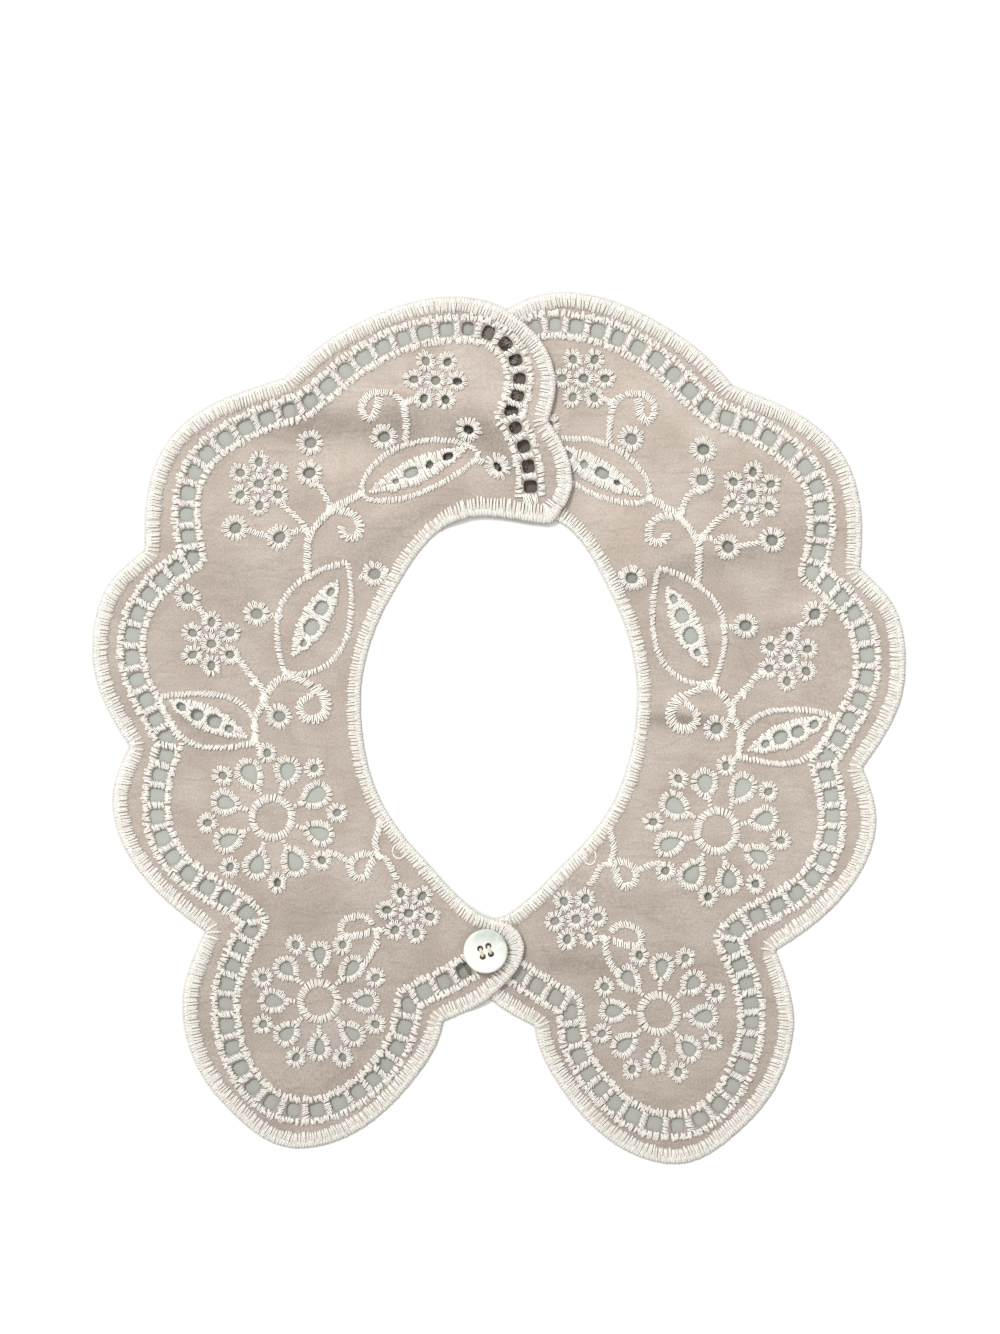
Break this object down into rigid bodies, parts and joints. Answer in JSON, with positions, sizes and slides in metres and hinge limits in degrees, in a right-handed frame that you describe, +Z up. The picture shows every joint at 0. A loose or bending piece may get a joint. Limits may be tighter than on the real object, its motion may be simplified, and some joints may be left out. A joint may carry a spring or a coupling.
{
  "type": "broderie anglaise collar",
  "caption": "Flat detachable cotton collar with a scalloped, stitched edge, cut-out flowers, leaves and ladder work, lapped at the back and buttoned at the front.",
  "frame": {"origin": "middle of the collar's outline as it lies, at the surface that it lies on", "axes": "+Z up from the surface, +Y towards the back of the neck, -Y towards the button, +X towards the half that lies underneath"},
  "size_m": [0.2758, 0.2956, 0.0071],
  "materials": {
    "cotton": "matt plain weave, dusty taupe pink",
    "thread": "cream cotton embroidery thread, soft sheen",
    "pearl": "polished pale pearl"
  },
  "bodies": {
    "root": {"collar_left": "cotton", "collar_right": "cotton", "button": "pearl", "button_thread": "thread"}
  },
  "joints": []
}
